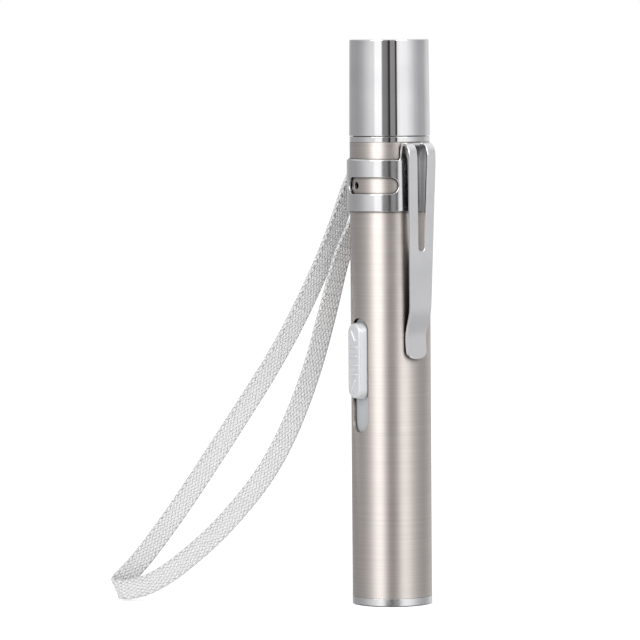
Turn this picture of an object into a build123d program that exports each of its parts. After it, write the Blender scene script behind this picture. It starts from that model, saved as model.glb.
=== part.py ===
from build123d import *
import math
import os

# Slim rechargeable examination penlight: a brushed steel tube with a light end, a slide switch, a sprung
# pocket clip with a wrist lanyard, and a pull-off cap over a USB plug.
# The pen stands on its light end. The origin is on the pen's axis in the plane of the light end's rim, +Z
# runs up the axis to the cap, the clip is on +X, the slide switch on -Y and the lanyard on -X. Millimetres.

# ---------------------------------------------------------------- driving dimensions
FIT = 0.05                # gap between pieces that are pressed or glued together
CAP_GAP = 0.05            # sliding gap between the cap's bore and the spigot
SEAM = 0.1                # joint line between the cap and the collar ring

TUBE_R = 7.0              # brushed tube, outside
TUBE_WALL = 0.5
TUBE_LENGTH = 79.7
RIM_HEIGHT = 1.4          # visible ring of the light end, below the tube

COLLAR_HEIGHT = 1.0       # chrome ring between the tube and the cap
CAP_PROUD = 0.08          # the cap's open end stands this far out of the collar ring
CAP_TAPER = 0.14          # and its radius shrinks by this much towards the closed end
CAP_WALL = 0.68           # wall at the open end
CAP_ROOF = 1.0
CAP_END_GAP = 0.8         # room between the plug's tip and the roof
CAP_EDGE = 0.45           # rounding of the cap's top edge

BEZEL_BORE_R = 4.6        # opening that the light leaves through
BEZEL_WALL = 0.5
BEZEL_SPIGOT = 7.5        # length of the bezel's sleeve inside the tube
LENS_THICK = 1.2
REFLECTOR_HEIGHT = 4.4
REFLECTOR_THROAT_R = 2.5
LED_BOARD_THICK = 1.0
WASHER_THICK = 0.4
LED_LONG = 3.0
LED_WIDE = 1.5
LED_HIGH = 0.8
LED_GAP = 0.4

CELL_R = 5.0              # 10 mm lithium cell
CELL_LENGTH = 18.0
TAB_THICK = 0.2
TAB_WIDTH = 3.0
TAB_REACH = 3.0           # how far the tabs run up the circuit board
WIRE_R = 0.35
WIRE_CLEAR = 0.15         # gap between the wires and the cell
WIRE_ANGLE = 41.3         # the wires pass the cell at this angle from the X axis
WIRE_BEND = 1.2

CHASSIS_WALL = 0.5
CHASSIS_END_GAP = 3.5     # from the chassis to the plug holder
BOARD_THICK = 1.0
BOARD_PLAY = 0.1          # gap between the board's edges and the chassis
BOARD_Y = 1.0             # face of the circuit board towards the switch
BOARD_END_GAP = 0.6       # from the board to the plug holder
BOARD_ABOVE_CELL = 2.0
CHIP = (3.9, 1.5, 4.9)
INDICATOR_LED = (1.2, 0.8, 2.0)

SLOT_WIDTH = 4.3          # switch slot in the tube
KNOB_GAP = 0.15           # gap between the knob and the slot's sides
KNOB_LENGTH = 13.6
KNOB_RISE = 1.15          # how far the knob stands out of the tube
KNOB_SIDE_TAPER = 0.225   # each side and each end leans in by this much from foot to top
KNOB_END_TAPER = 0.35
KNOB_END_FLAT = 0.45      # straight part of the knob's top end, between its two corners
KNOB_FOOT_ROUND = 0.2     # the foot's corners are this much larger than the top's
KNOB_UPPER_GAP = 0.6      # slot left open above the knob at rest
KNOB_LOWER_GAP = 0.2      # slot left open below the knob at the end of its travel
KNOB_TRAVEL = 5.6
GRIP_COUNT = 4
GRIP_PITCH = 1.6
GRIP_DEPTH = 0.3
GRIP_WIDTH = 0.55
SHUTTER_THICK = 0.45
SHUTTER_GAP = 0.15        # gap between the shutter and the tube's bore
SHUTTER_LAP = 0.55        # the shutter is this much wider than the slot, on each side
SWITCH_FROM_END = 5.1     # from the board's lower end to the slide switch
SWITCH_LENGTH = 13.0
SWITCH_WIDTH = 4.4
SWITCH_HEIGHT = 3.4
SWITCH_WELL = 1.6         # depth of the opening that the lever slides in
PIN_R = 0.4
PIN_INSET = 1.0           # from the switch's ends to its soldered pins
PIN_TAIL = 0.5
LEVER_SIZE = 1.5
LEVER_GAP = 0.05
STEM_WIDTH = 2.8          # socket under the knob that grips the lever
STEM_LENGTH = 4.6
STEM_CLEAR = 1.0          # between the stem and the switch's face
SOCKET_DEPTH = 1.0
CHANNEL_PLAY = 0.4        # room beside the shutter, in the chassis

PLUG_WIDTH = 12.0         # USB-A plug shell
PLUG_HEIGHT = 4.5
PLUG_CORNER = 0.6
PLUG_SHEET = 0.3
PLUG_EXPOSED = 11.6
LATCH_WINDOW = (2.5, 2.0) # square windows in both wide faces of the shell
LATCH_SPACING = 5.0
LATCH_FROM_TIP = 5.2
SPIGOT_HEIGHT = 3.5       # spigot that the cap grips, above the collar ring
HOLDER_CLEAR = 0.825      # from the light pipe to the plug holder
TONGUE_THICK = 1.84
TONGUE_RECESS = 0.5
TONGUE_SIDE = 0.2         # gap between the tongue's sides and the shell
CORE_ROOT = 2.0           # solid root of the plug's core, inside the shell
CONTACT_THICK = 0.15
CONTACT_WIDTH = 1.0
CONTACTS = ((-3.5, 8.2), (-1.0, 7.2), (1.0, 7.2), (3.5, 8.2))   # place and length of each contact

BAND_DROP = 3.05          # from the tube's upper end down to the clip's chrome band
BAND_HEIGHT = 8.95
BAND_GAP = 0.03
SHEET = 0.5               # thickness of the clip's sheet metal
WINDOW_HEIGHT = 2.9
WINDOW_NEAR = 24.5        # the band's windows run between these angles from the clip, on both sides
WINDOW_FAR = 108.5
INDICATOR_R = 0.62        # charge-indicator hole in the tube
INDICATOR_ANGLE = -93.0
PIPE_R = 1.1
PIPE_RECESS = 1.2

CLIP_RISE = 2.95          # from the band up to the outer face of the clip's bend
CLIP_LENGTH = 37.7
CLIP_TOP_WIDTH = 5.7
CLIP_LOW_WIDTH = 4.3
TIP_ROUND = 1.4           # height of the tip's rounded end
NECK_BEND = 0.45          # the neck starts to turn over this far below the bend
PIVOT_OUT = 0.5           # the arm flexes this far outside the neck
# middle of the arm's sheet: out from the tube's face, and down from the middle of the bend
SHOULDER = (1.75, 0.75)
ARM_WIDEST = (2.35, 3.55)
ARM_KNEE = (1.72, 28.15)  # here the arm turns in to the tube
ARM_TOUCH = (0.32, 33.85)
TIP_OUT = 0.75
CLIP_SPLIT = 0.05         # cut that stands for the bending place
SLIT_TOP_WIDTH = 2.3
SLIT_LOW_WIDTH = 1.5
SLIT_DROP = 1.4           # from the top of the bend to the slit
SLIT_LENGTH = 17.4

STRAP_THICK = 0.9         # braided lanyard strap
STRAP_WIDTH = 4.0
STRAP_PLAY = 0.1          # room on each face of the strap, under the bridge
BRIDGE_PLAY = 0.25        # room at each edge of the strap, under the bridge
JOINT_LOW = 2.4           # welded joint of the strap's loop: above the bridge's lower edge
JOINT_HIGH = 0.85         # and below its upper edge

# ---------------------------------------------------------------- sizes that follow
BORE_R = TUBE_R - TUBE_WALL
TUBE_TOP = RIM_HEIGHT + TUBE_LENGTH
COLLAR_TOP = TUBE_TOP + COLLAR_HEIGHT
CAP_BOTTOM = COLLAR_TOP + SEAM
CAP_BASE_R = TUBE_R + CAP_PROUD
CAP_TOP_R = CAP_BASE_R - CAP_TAPER
CAP_BORE_R = CAP_BASE_R - CAP_WALL
INNER_R = BORE_R - FIT                       # whatever is pressed into the tube
SEAT_R = INNER_R - BEZEL_WALL                # inside of the bezel's sleeve
SLEEVE_TOP = RIM_HEIGHT + BEZEL_SPIGOT
LENS_TOP = RIM_HEIGHT + LENS_THICK
REFLECTOR_TOP = LENS_TOP + REFLECTOR_HEIGHT
LED_BOARD_TOP = REFLECTOR_TOP + LED_BOARD_THICK
WASHER_TOP = LED_BOARD_TOP + WASHER_THICK
CELL_BOTTOM = WASHER_TOP + TAB_THICK
CELL_TOP = CELL_BOTTOM + CELL_LENGTH
BOARD_BOTTOM = CELL_TOP + BOARD_ABOVE_CELL
CHASSIS_BORE = INNER_R - CHASSIS_WALL
WIRE_PATH_R = CELL_R + WIRE_CLEAR + WIRE_R
WIRE_X = WIRE_PATH_R * math.cos(math.radians(WIRE_ANGLE))
WIRE_Y = WIRE_PATH_R * math.sin(math.radians(WIRE_ANGLE))
SWITCH_Z = BOARD_BOTTOM + SWITCH_FROM_END + SWITCH_LENGTH / 2
SWITCH_FACE = BOARD_Y - SWITCH_HEIGHT
PIN_SPACING = SWITCH_LENGTH - 2 * PIN_INSET
STEM_INNER_Y = SWITCH_FACE - STEM_CLEAR
KNOB_WIDTH = SLOT_WIDTH - 2 * KNOB_GAP
KNOB_TOP_WIDTH = KNOB_WIDTH - 2 * KNOB_SIDE_TAPER
KNOB_TOP_LENGTH = KNOB_LENGTH - 2 * KNOB_END_TAPER
KNOB_CORNER = (KNOB_TOP_WIDTH - KNOB_END_FLAT) / 2
KNOB_Z = SWITCH_Z + KNOB_TRAVEL / 2
SLOT_LENGTH = KNOB_LENGTH + KNOB_TRAVEL + KNOB_UPPER_GAP + KNOB_LOWER_GAP
SLOT_Z = KNOB_Z + KNOB_LENGTH / 2 + KNOB_UPPER_GAP - SLOT_LENGTH / 2
SHUTTER_R = BORE_R - SHUTTER_GAP
SHUTTER_WIDTH = SLOT_WIDTH + 2 * SHUTTER_LAP
SHUTTER_SPAN = SLOT_LENGTH + KNOB_TRAVEL + 1.0
SHUTTER_Z = SLOT_Z + KNOB_TRAVEL / 2
SPIGOT_R = CAP_BORE_R - CAP_GAP
SPIGOT_TOP = COLLAR_TOP + SPIGOT_HEIGHT
PLUG_TIP = SPIGOT_TOP + PLUG_EXPOSED
CAP_TOP = PLUG_TIP + CAP_END_GAP + CAP_ROOF
CORE_WIDTH = PLUG_WIDTH - 2 * PLUG_SHEET - 2 * FIT
CORE_HEIGHT = PLUG_HEIGHT - 2 * PLUG_SHEET - 2 * FIT
BAND_R = TUBE_R + BAND_GAP
BAND_OUTER = BAND_R + SHEET
BAND_TOP = TUBE_TOP - BAND_DROP
BAND_BOTTOM = BAND_TOP - BAND_HEIGHT
WINDOW_Z = BAND_BOTTOM + BAND_HEIGHT / 2
HOLDER_BOTTOM = WINDOW_Z + PIPE_R + HOLDER_CLEAR
CHASSIS_TOP = HOLDER_BOTTOM - CHASSIS_END_GAP
BOARD_LENGTH = HOLDER_BOTTOM - BOARD_END_GAP - BOARD_BOTTOM
BOARD_WIDTH = 2 * (math.sqrt(CHASSIS_BORE**2 - (BOARD_Y + BOARD_THICK) ** 2) - BOARD_PLAY)
CHIP_Z = (SWITCH_Z + SWITCH_LENGTH / 2 + WINDOW_Z) / 2
CLIP_TOP = BAND_TOP + CLIP_RISE
BEND_Z = CLIP_TOP - SHEET / 2
CLIP_TIP_Z = CLIP_TOP - CLIP_LENGTH
NECK_X = BAND_R + SHEET / 2
PIVOT_X = NECK_X + PIVOT_OUT
JOINT_BOTTOM = BAND_BOTTOM + JOINT_LOW
JOINT_TOP = BAND_TOP - JOINT_HIGH
BRIDGE_INNER = TUBE_R + STRAP_THICK + 3 * STRAP_PLAY    # the joint is one play thicker than the strap
BRIDGE_OUTER = BRIDGE_INNER + SHEET
BRIDGE_HALF = STRAP_WIDTH / 2 + BRIDGE_PLAY


def ring_profile(*points):
    """Closed outline of (radius, height) points, to be turned about the pen's axis."""
    with BuildSketch(Plane.XZ) as outline:
        with BuildLine():
            Polyline(*points, close=True)
        make_face()
    return outline.sketch


def sleeve_profile(inner, outer, bottom, top):
    """Outline of a plain sleeve; an inner radius of 0 makes a disc."""
    return ring_profile((inner, bottom), (outer, bottom), (outer, top), (inner, top))


def radial_plane(angle, radius, height):
    """Plane square to a radius of the pen, facing outwards, with its own Y up the pen."""
    outwards = Vector(1, 0, 0).rotate(Axis.Z, angle)
    sideways = Vector(0, 1, 0).rotate(Axis.Z, angle)
    return Plane(origin=outwards * radius + Vector(0, 0, height), x_dir=sideways, z_dir=outwards)


os.makedirs("parts", exist_ok=True)
FLOOR = (Align.CENTER, Align.CENTER, Align.MIN)

# ---------------------------------------------------------------- tube and light end
with BuildPart() as body_tube:
    revolve(sleeve_profile(BORE_R, TUBE_R, RIM_HEIGHT, TUBE_TOP), axis=Axis.Z)
    with BuildSketch(Plane.XZ.offset(BORE_R - 1.5)):
        with Locations((0, SLOT_Z)):
            SlotOverall(SLOT_LENGTH, SLOT_WIDTH, rotation=90)
    extrude(amount=4, mode=Mode.SUBTRACT)
    with BuildSketch(radial_plane(INDICATOR_ANGLE, BORE_R - 1, WINDOW_Z)):
        Circle(INDICATOR_R)
    extrude(amount=3, mode=Mode.SUBTRACT)
body_tube.part.label = "body_tube"
export_step(body_tube.part, "parts/body_tube.step")

with BuildPart() as tail_bezel:
    revolve(sleeve_profile(BEZEL_BORE_R, TUBE_R, 0, RIM_HEIGHT), axis=Axis.Z)
    revolve(sleeve_profile(SEAT_R, INNER_R, RIM_HEIGHT, SLEEVE_TOP), axis=Axis.Z)
    foot_edges = tail_bezel.edges().filter_by(GeomType.CIRCLE).group_by(Axis.Z)[0]
    chamfer(foot_edges.sort_by(SortBy.RADIUS)[-1], 0.3)
    fillet(foot_edges.sort_by(SortBy.RADIUS)[0], 0.4)
tail_bezel.part.label = "tail_bezel"
export_step(tail_bezel.part, "parts/tail_bezel.step")

with BuildPart() as lens_window:
    revolve(sleeve_profile(0, SEAT_R - FIT, RIM_HEIGHT, LENS_TOP), axis=Axis.Z)
lens_window.part.label = "lens_window"
export_step(lens_window.part, "parts/lens_window.step")

with BuildPart() as reflector:
    with BuildSketch(Plane.XZ):
        with BuildLine():
            mouth = (SEAT_R - BEZEL_WALL, LENS_TOP)
            throat = (REFLECTOR_THROAT_R, REFLECTOR_TOP)
            Spline(mouth, throat, tangents=((-0.25, 1), (-1, 0.35)))
            Polyline(throat, (SEAT_R - FIT, REFLECTOR_TOP), (SEAT_R - FIT, LENS_TOP), mouth)
        make_face()
    revolve(axis=Axis.Z)
reflector.part.label = "reflector"
export_step(reflector.part, "parts/reflector.step")

with BuildPart() as led_board:
    revolve(sleeve_profile(0, SEAT_R - FIT, REFLECTOR_TOP, LED_BOARD_TOP), axis=Axis.Z)
led_board.part.label = "led_board"
export_step(led_board.part, "parts/led_board.step")

for name, side in (("white_led", -1), ("warm_led", 1)):
    with BuildPart() as led:
        with Locations((side * (LED_WIDE + LED_GAP) / 2, 0, REFLECTOR_TOP - LED_HIGH)):
            Box(LED_WIDE, LED_LONG, LED_HIGH, align=FLOOR)
        chamfer(led.edges().group_by(Axis.Z)[0], 0.15)
    led.part.label = name
    export_step(led.part, f"parts/{name}.step")

# ---------------------------------------------------------------- cell, tabs and wires
with BuildPart() as insulating_washer:
    revolve(sleeve_profile(0, CHASSIS_BORE - FIT, LED_BOARD_TOP, WASHER_TOP), axis=Axis.Z)
    with Locations((WIRE_X, WIRE_Y, LED_BOARD_TOP), (-WIRE_X, WIRE_Y, LED_BOARD_TOP)):
        Cylinder(WIRE_R + 2 * FIT, WASHER_THICK, align=FLOOR, mode=Mode.SUBTRACT)
insulating_washer.part.label = "insulating_washer"
export_step(insulating_washer.part, "parts/insulating_washer.step")

with BuildPart() as battery_cell:
    revolve(sleeve_profile(0, CELL_R, CELL_BOTTOM, CELL_TOP), axis=Axis.Z)
    fillet(battery_cell.edges().filter_by(GeomType.CIRCLE), 0.5)
battery_cell.part.label = "battery_cell"
export_step(battery_cell.part, "parts/battery_cell.step")

with BuildPart() as battery_tabs:
    tab_end = BOARD_BOTTOM + TAB_REACH
    with Locations((0, BOARD_Y - TAB_WIDTH / 2, CELL_TOP)):
        Box(TAB_WIDTH, TAB_WIDTH, TAB_THICK, align=FLOOR)
    with Locations((0, BOARD_Y - TAB_THICK / 2, CELL_TOP)):
        Box(TAB_WIDTH, TAB_THICK, tab_end - CELL_TOP, align=FLOOR)
    side_x = CELL_R + FIT
    with Locations((0, BOARD_Y - TAB_WIDTH / 2, WASHER_TOP)):
        Box(side_x + TAB_THICK, TAB_WIDTH, TAB_THICK, align=(Align.MIN, Align.CENTER, Align.MIN))
    with Locations((side_x, BOARD_Y - TAB_WIDTH / 2, WASHER_TOP)):
        Box(TAB_THICK, TAB_WIDTH, tab_end - WASHER_TOP, align=(Align.MIN, Align.CENTER, Align.MIN))
battery_tabs.part.label = "battery_tabs"
export_step(battery_tabs.part, "parts/battery_tabs.step")

with BuildPart() as led_wires:
    for side in (-1, 1):
        board_y = BOARD_Y + BOARD_THICK + WIRE_R
        with BuildLine():
            FilletPolyline(
                (side * WIRE_X, WIRE_Y, LED_BOARD_TOP),
                (side * WIRE_X, WIRE_Y, CELL_TOP),
                (side * WIRE_X, board_y, BOARD_BOTTOM + 1),
                (side * WIRE_X, board_y, BOARD_BOTTOM + 4),
                radius=WIRE_BEND,
            )
        with BuildSketch(Plane.XY.offset(LED_BOARD_TOP)):
            with Locations((side * WIRE_X, WIRE_Y)):
                Circle(WIRE_R)
        sweep()
led_wires.part.label = "led_wires"
export_step(led_wires.part, "parts/led_wires.step")

# ---------------------------------------------------------------- chassis, board and switch
with BuildPart() as inner_chassis:
    revolve(sleeve_profile(CHASSIS_BORE, INNER_R, SLEEVE_TOP, CHASSIS_TOP), axis=Axis.Z)
    channel_bottom = SHUTTER_Z - SHUTTER_SPAN / 2 - KNOB_TRAVEL - 1
    channel_top = SHUTTER_Z + SHUTTER_SPAN / 2 + 1
    channel_width = SHUTTER_WIDTH + 2 * CHANNEL_PLAY
    with Locations((0, -BORE_R, channel_bottom)):
        Box(channel_width, 6, channel_top - channel_bottom, align=FLOOR, mode=Mode.SUBTRACT)
inner_chassis.part.label = "inner_chassis"
export_step(inner_chassis.part, "parts/inner_chassis.step")

with BuildPart() as main_board:
    with Locations((0, BOARD_Y + BOARD_THICK / 2, BOARD_BOTTOM)):
        Box(BOARD_WIDTH, BOARD_THICK, BOARD_LENGTH, align=FLOOR)
    with Locations(Plane.XZ.offset(-BOARD_Y)):
        with Locations((0, SWITCH_Z - PIN_SPACING / 2), (0, SWITCH_Z + PIN_SPACING / 2)):
            Hole(PIN_R + FIT)
main_board.part.label = "main_board"
export_step(main_board.part, "parts/main_board.step")

with BuildPart() as charger_chip:
    with Locations((0, BOARD_Y, CHIP_Z)):
        Box(*CHIP, align=(Align.CENTER, Align.MAX, Align.CENTER))
    chamfer(charger_chip.faces().sort_by(Axis.Y)[0].edges(), 0.2)
charger_chip.part.label = "charger_chip"
export_step(charger_chip.part, "parts/charger_chip.step")

with BuildPart() as indicator_led:
    with Locations((0, BOARD_Y, WINDOW_Z)):
        Box(*INDICATOR_LED, align=(Align.CENTER, Align.MAX, Align.CENTER))
indicator_led.part.label = "indicator_led"
export_step(indicator_led.part, "parts/indicator_led.step")

with BuildPart() as light_pipe:
    pipe_start = BOARD_Y - INDICATOR_LED[1]
    with BuildSketch(Plane.XZ.offset(-pipe_start)):
        with Locations((0, WINDOW_Z)):
            Circle(PIPE_R)
    extrude(amount=BORE_R - PIPE_RECESS + pipe_start)
light_pipe.part.label = "light_pipe"
export_step(light_pipe.part, "parts/light_pipe.step")

with BuildPart() as slide_switch:
    with Locations((0, BOARD_Y, SWITCH_Z)):
        Box(SWITCH_WIDTH, SWITCH_HEIGHT, SWITCH_LENGTH, align=(Align.CENTER, Align.MAX, Align.CENTER))
    with Locations((0, SWITCH_FACE, SWITCH_Z)):
        Box(
            LEVER_SIZE + 2 * LEVER_GAP,
            SWITCH_WELL,
            KNOB_TRAVEL + LEVER_SIZE + 2 * LEVER_GAP,
            align=(Align.CENTER, Align.MIN, Align.CENTER),
            mode=Mode.SUBTRACT,
        )
slide_switch.part.label = "slide_switch"
export_step(slide_switch.part, "parts/slide_switch.step")

with BuildPart() as switch_pins:
    with BuildSketch(Plane.XZ.offset(-BOARD_Y)):
        with Locations((0, SWITCH_Z - PIN_SPACING / 2), (0, SWITCH_Z + PIN_SPACING / 2)):
            Circle(PIN_R)
    extrude(amount=-BOARD_THICK - PIN_TAIL)
switch_pins.part.label = "switch_pins"
export_step(switch_pins.part, "parts/switch_pins.step")

with BuildPart() as switch_lever:
    lever_root = SWITCH_FACE + SWITCH_WELL - 2 * LEVER_GAP
    lever_tip = STEM_INNER_Y - SOCKET_DEPTH + 2 * LEVER_GAP
    with Locations((0, lever_root, KNOB_Z)):
        Box(LEVER_SIZE, lever_root - lever_tip, LEVER_SIZE, align=(Align.CENTER, Align.MAX, Align.CENTER))
switch_lever.part.label = "switch_lever"
export_step(switch_lever.part, "parts/switch_lever.step")

with BuildPart() as switch_shutter:
    with BuildSketch(Plane.XY.offset(SHUTTER_Z - SHUTTER_SPAN / 2)):
        Circle(SHUTTER_R)
        Circle(SHUTTER_R - SHUTTER_THICK, mode=Mode.SUBTRACT)
        with Locations((0, -BORE_R)):
            Rectangle(SHUTTER_WIDTH, 6, mode=Mode.INTERSECT)
    extrude(amount=SHUTTER_SPAN)
    with Locations((0, -BORE_R, KNOB_Z)):
        Box(STEM_WIDTH + 2 * FIT, 4, STEM_LENGTH + 2 * FIT, mode=Mode.SUBTRACT)
switch_shutter.part.label = "switch_shutter"
export_step(switch_shutter.part, "parts/switch_shutter.step")

with BuildPart() as switch_knob:
    with BuildSketch(Plane.XZ.offset(SHUTTER_R + FIT)):
        with Locations((0, KNOB_Z)):
            RectangleRounded(KNOB_WIDTH, KNOB_LENGTH, KNOB_CORNER + KNOB_FOOT_ROUND)
    with BuildSketch(Plane.XZ.offset(TUBE_R + KNOB_RISE)):
        with Locations((0, KNOB_Z)):
            RectangleRounded(KNOB_TOP_WIDTH, KNOB_TOP_LENGTH, KNOB_CORNER)
    loft()
    fillet(switch_knob.faces().sort_by(Axis.Y)[0].edges(), 0.25)
    stem_length = SHUTTER_R + FIT + STEM_INNER_Y
    socket = LEVER_SIZE + 2 * LEVER_GAP
    with Locations((0, STEM_INNER_Y, KNOB_Z)):
        Box(STEM_WIDTH, stem_length, STEM_LENGTH, align=(Align.CENTER, Align.MAX, Align.CENTER))
        Box(socket, SOCKET_DEPTH, socket, align=(Align.CENTER, Align.MAX, Align.CENTER), mode=Mode.SUBTRACT)
    grip_y = -(TUBE_R + KNOB_RISE)
    for step in range(GRIP_COUNT):
        height = KNOB_Z + (step - (GRIP_COUNT - 1) / 2) * GRIP_PITCH
        with Locations((0, grip_y, height)):
            Box(KNOB_TOP_WIDTH - 1.0, 2 * GRIP_DEPTH, GRIP_WIDTH, mode=Mode.SUBTRACT)
    for side in (-1, 1):
        height = KNOB_Z + side * (GRIP_COUNT / 2 + 0.7) * GRIP_PITCH
        with Locations(Location((0, grip_y, height), (0, side * 60, 0))):
            Box(KNOB_TOP_WIDTH - 1.2, 2 * GRIP_DEPTH, GRIP_WIDTH, mode=Mode.SUBTRACT)
switch_knob.part.label = "switch_knob"
export_step(switch_knob.part, "parts/switch_knob.step")

# ---------------------------------------------------------------- collar, USB plug and cap
with BuildPart() as collar_ring:
    revolve(sleeve_profile(SPIGOT_R + FIT, TUBE_R, TUBE_TOP, COLLAR_TOP), axis=Axis.Z)
    chamfer(collar_ring.edges().filter_by(GeomType.CIRCLE).group_by(SortBy.RADIUS)[-1], 0.08)
collar_ring.part.label = "collar_ring"
export_step(collar_ring.part, "parts/collar_ring.step")

with BuildPart() as plug_holder:
    revolve(sleeve_profile(0, INNER_R, HOLDER_BOTTOM, TUBE_TOP), axis=Axis.Z)
    revolve(sleeve_profile(0, SPIGOT_R, TUBE_TOP, SPIGOT_TOP), axis=Axis.Z)
    with Locations((0, 0, HOLDER_BOTTOM)):
        Box(CORE_WIDTH + 2 * FIT, CORE_HEIGHT + 2 * FIT, SPIGOT_TOP, align=FLOOR, mode=Mode.SUBTRACT)
plug_holder.part.label = "plug_holder"
export_step(plug_holder.part, "parts/plug_holder.step")

with BuildPart() as usb_shell:
    with BuildSketch(Plane.XY.offset(SPIGOT_TOP)):
        RectangleRounded(PLUG_WIDTH, PLUG_HEIGHT, PLUG_CORNER)
        offset(amount=-PLUG_SHEET, mode=Mode.SUBTRACT)
    extrude(amount=PLUG_EXPOSED)
    latch_z = PLUG_TIP - LATCH_FROM_TIP
    with Locations((-LATCH_SPACING / 2, 0, latch_z), (LATCH_SPACING / 2, 0, latch_z)):
        Box(LATCH_WINDOW[0], PLUG_HEIGHT + 1, LATCH_WINDOW[1], align=FLOOR, mode=Mode.SUBTRACT)
usb_shell.part.label = "usb_shell"
export_step(usb_shell.part, "parts/usb_shell.step")

TONGUE_Y = -CORE_HEIGHT / 2 + TONGUE_THICK / 2

with BuildPart() as usb_core:
    root_top = SPIGOT_TOP + CORE_ROOT
    with Locations((0, 0, HOLDER_BOTTOM)):
        Box(CORE_WIDTH, CORE_HEIGHT, root_top - HOLDER_BOTTOM, align=FLOOR)
    fillet(usb_core.edges().filter_by(Axis.Z), PLUG_CORNER - PLUG_SHEET)
    with Locations((0, TONGUE_Y, root_top)):
        Box(CORE_WIDTH - 2 * TONGUE_SIDE, TONGUE_THICK, PLUG_TIP - TONGUE_RECESS - root_top, align=FLOOR)
usb_core.part.label = "usb_core"
export_step(usb_core.part, "parts/usb_core.step")

with BuildPart() as usb_contacts:
    for place, reach in CONTACTS:
        with Locations((place, TONGUE_Y + TONGUE_THICK / 2, SPIGOT_TOP + CORE_ROOT)):
            Box(CONTACT_WIDTH, CONTACT_THICK, reach, align=(Align.CENTER, Align.MIN, Align.MIN))
usb_contacts.part.label = "usb_contacts"
export_step(usb_contacts.part, "parts/usb_contacts.step")

with BuildPart() as cap_shell:
    revolve(
        ring_profile(
            (0, CAP_TOP),
            (CAP_TOP_R, CAP_TOP),
            (CAP_BASE_R, CAP_BOTTOM),
            (CAP_BORE_R, CAP_BOTTOM),
            (CAP_BORE_R, CAP_TOP - CAP_ROOF),
            (0, CAP_TOP - CAP_ROOF),
        ),
        axis=Axis.Z,
    )
    fillet(cap_shell.edges().filter_by(GeomType.CIRCLE).group_by(Axis.Z)[-1], CAP_EDGE)
cap_shell.part.label = "cap_shell"
export_step(cap_shell.part, "parts/cap_shell.step")

# ---------------------------------------------------------------- clip
def arm_point(out, down):
    """Place on the arm's side outline, from its distance off the tube's face and below the bend."""
    return (TUBE_R + out, BEND_Z - down)


shoulder = arm_point(*SHOULDER)
widest = arm_point(*ARM_WIDEST)
knee = arm_point(*ARM_KNEE)
touch = arm_point(*ARM_TOUCH)
tip = (TUBE_R + TIP_OUT, CLIP_TIP_Z)
arm_run = (knee[0] - widest[0], knee[1] - widest[1])
slit_top_z = CLIP_TOP - SLIT_DROP
slit_low_z = slit_top_z - SLIT_LENGTH

with BuildPart() as clip_band:
    with BuildSketch(Plane.XY.offset(BAND_BOTTOM)):
        Circle(BAND_OUTER)
        with Locations((-BRIDGE_OUTER, 0)):
            Rectangle(3, 2 * (BRIDGE_HALF + SHEET), align=(Align.MIN, Align.CENTER))
        with Locations((-BRIDGE_INNER, 0)):
            Rectangle(3, 2 * BRIDGE_HALF, align=(Align.MIN, Align.CENTER), mode=Mode.SUBTRACT)
        Circle(BAND_R, mode=Mode.SUBTRACT)
    extrude(amount=BAND_HEIGHT)
    window_round = math.degrees(WINDOW_HEIGHT / 2 / BAND_OUTER)
    for side in (-1, 1):
        near = WINDOW_NEAR + window_round
        far = WINDOW_FAR - window_round
        with BuildSketch(Plane.XY.offset(WINDOW_Z - WINDOW_HEIGHT / 2)):
            with BuildLine():
                reach = CenterArc((0, 0), BAND_OUTER + 1, side * near, side * (far - near))
                Polyline(reach @ 1, (0, 0), reach @ 0)
            make_face()
        extrude(amount=WINDOW_HEIGHT, mode=Mode.SUBTRACT)
        for angle in (near, far):
            with BuildSketch(radial_plane(side * angle, BAND_R - 1, WINDOW_Z)):
                Circle(WINDOW_HEIGHT / 2)
            extrude(amount=3, mode=Mode.SUBTRACT)
    with BuildSketch(Plane.XZ.offset(-CLIP_TOP_WIDTH / 2)):
        with BuildLine():
            neck_top = (NECK_X, BEND_Z - NECK_BEND)
            Line((NECK_X, BAND_TOP - 1), neck_top)
            TangentArc(neck_top, (PIVOT_X - CLIP_SPLIT / 2, BEND_Z), tangent=(0, 1))
        trace(line_width=SHEET)
    extrude(amount=CLIP_TOP_WIDTH)
    with BuildSketch(Plane.XY.offset(BAND_BOTTOM)):
        Circle(BAND_R)
    extrude(amount=CLIP_TOP - BAND_BOTTOM, mode=Mode.SUBTRACT)
clip_band.part.label = "clip_band"
export_step(clip_band.part, "parts/clip_band.step")

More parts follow.
